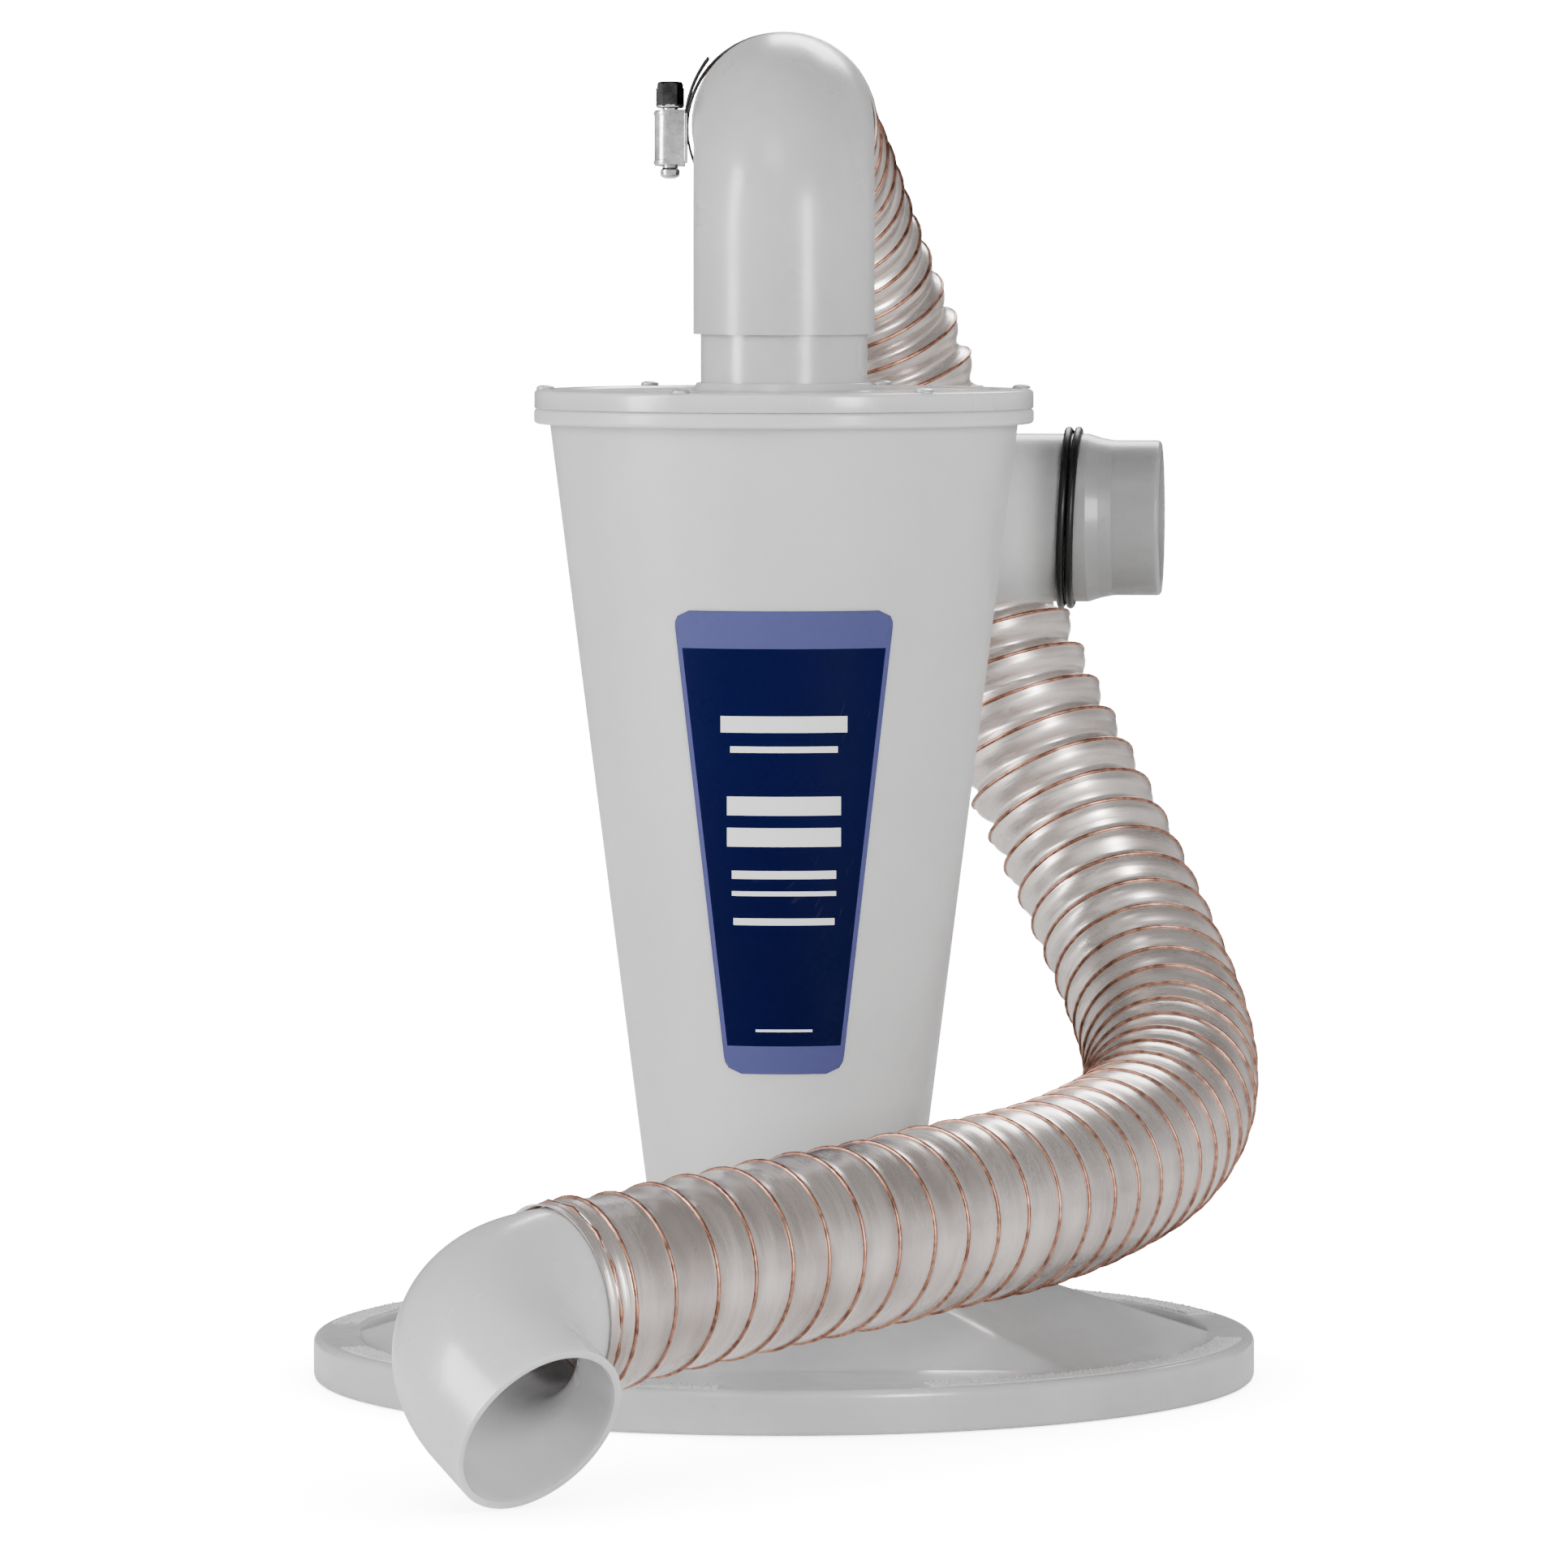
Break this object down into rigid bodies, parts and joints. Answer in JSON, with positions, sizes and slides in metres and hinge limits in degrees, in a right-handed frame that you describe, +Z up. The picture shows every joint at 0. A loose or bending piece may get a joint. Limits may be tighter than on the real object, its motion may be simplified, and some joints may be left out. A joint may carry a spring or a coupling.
{
  "type": "cyclone dust separator",
  "caption": "Small translucent cyclone dust separator on a pail lid, with a side inlet, an outlet elbow, a clear wire-wound hose and a nozzle elbow.",
  "frame": {"origin": "middle of the pail lid's underside, on the surface it stands on", "axes": "+Z up along the cone's axis, +X along the inlet port, +Y to the back"},
  "size_m": [0.304, 0.5502, 0.4359],
  "materials": {
    "lid_plastic": "satin translucent white polyethylene",
    "body_plastic": "satin translucent white polyethylene",
    "elbow_plastic": "smooth translucent white polyethylene",
    "black_rubber": "matt",
    "grey_foam": "matt closed-cell foam",
    "zinc_steel": "zinc plated",
    "stainless": "polished stainless",
    "label_film": "printed vinyl film",
    "hose_film": "clear film over a coppered wire helix"
  },
  "bodies": {
    "base": {"pail_lid": "lid_plastic", "lid_seal": "black_rubber", "foot_gasket": "black_rubber", "foot_bolts": "zinc_steel", "foot_washers_top": "zinc_steel", "foot_washers_bottom": "zinc_steel", "foot_nuts": "zinc_steel", "cyclone_body": "body_plastic", "inlet_band_inner": "black_rubber", "inlet_band_outer": "black_rubber", "label": "label_film", "cover_gasket": "grey_foam", "top_cover": "body_plastic", "cover_screws": "zinc_steel", "outlet_tube": "body_plastic"},
    "outlet_arm": {"outlet_elbow": "elbow_plastic", "hose_cuff_top": "hose_film", "clamp_band": "stainless", "clamp_housing": "stainless", "hose": "hose_film", "hose_cuff_front": "hose_film"},
    "clamp_worm": {"clamp_screw": "zinc_steel"},
    "nozzle": {"nozzle_elbow": "elbow_plastic"}
  },
  "joints": [
    {"name": "outlet_swivel", "type": "hinge", "parent": "base", "child": "outlet_arm", "pos_m": [0, 0, 0.35], "axis": [0, 0, 1], "range_deg": [0, 270]},
    {"name": "clamp_screw_turn", "type": "hinge", "parent": "outlet_arm", "child": "clamp_worm", "pos_m": [-0.04142, 0.04702, 0.40019], "axis": [-0.0061, 0.0695, 0.9976], "continuous": true},
    {"name": "nozzle_swivel", "type": "hinge", "parent": "outlet_arm", "child": "nozzle", "pos_m": [-0.04204, -0.26466, 0.05495], "axis": [-0.7391, -0.6655, -0.1045], "range_deg": [0, 180]}
  ]
}
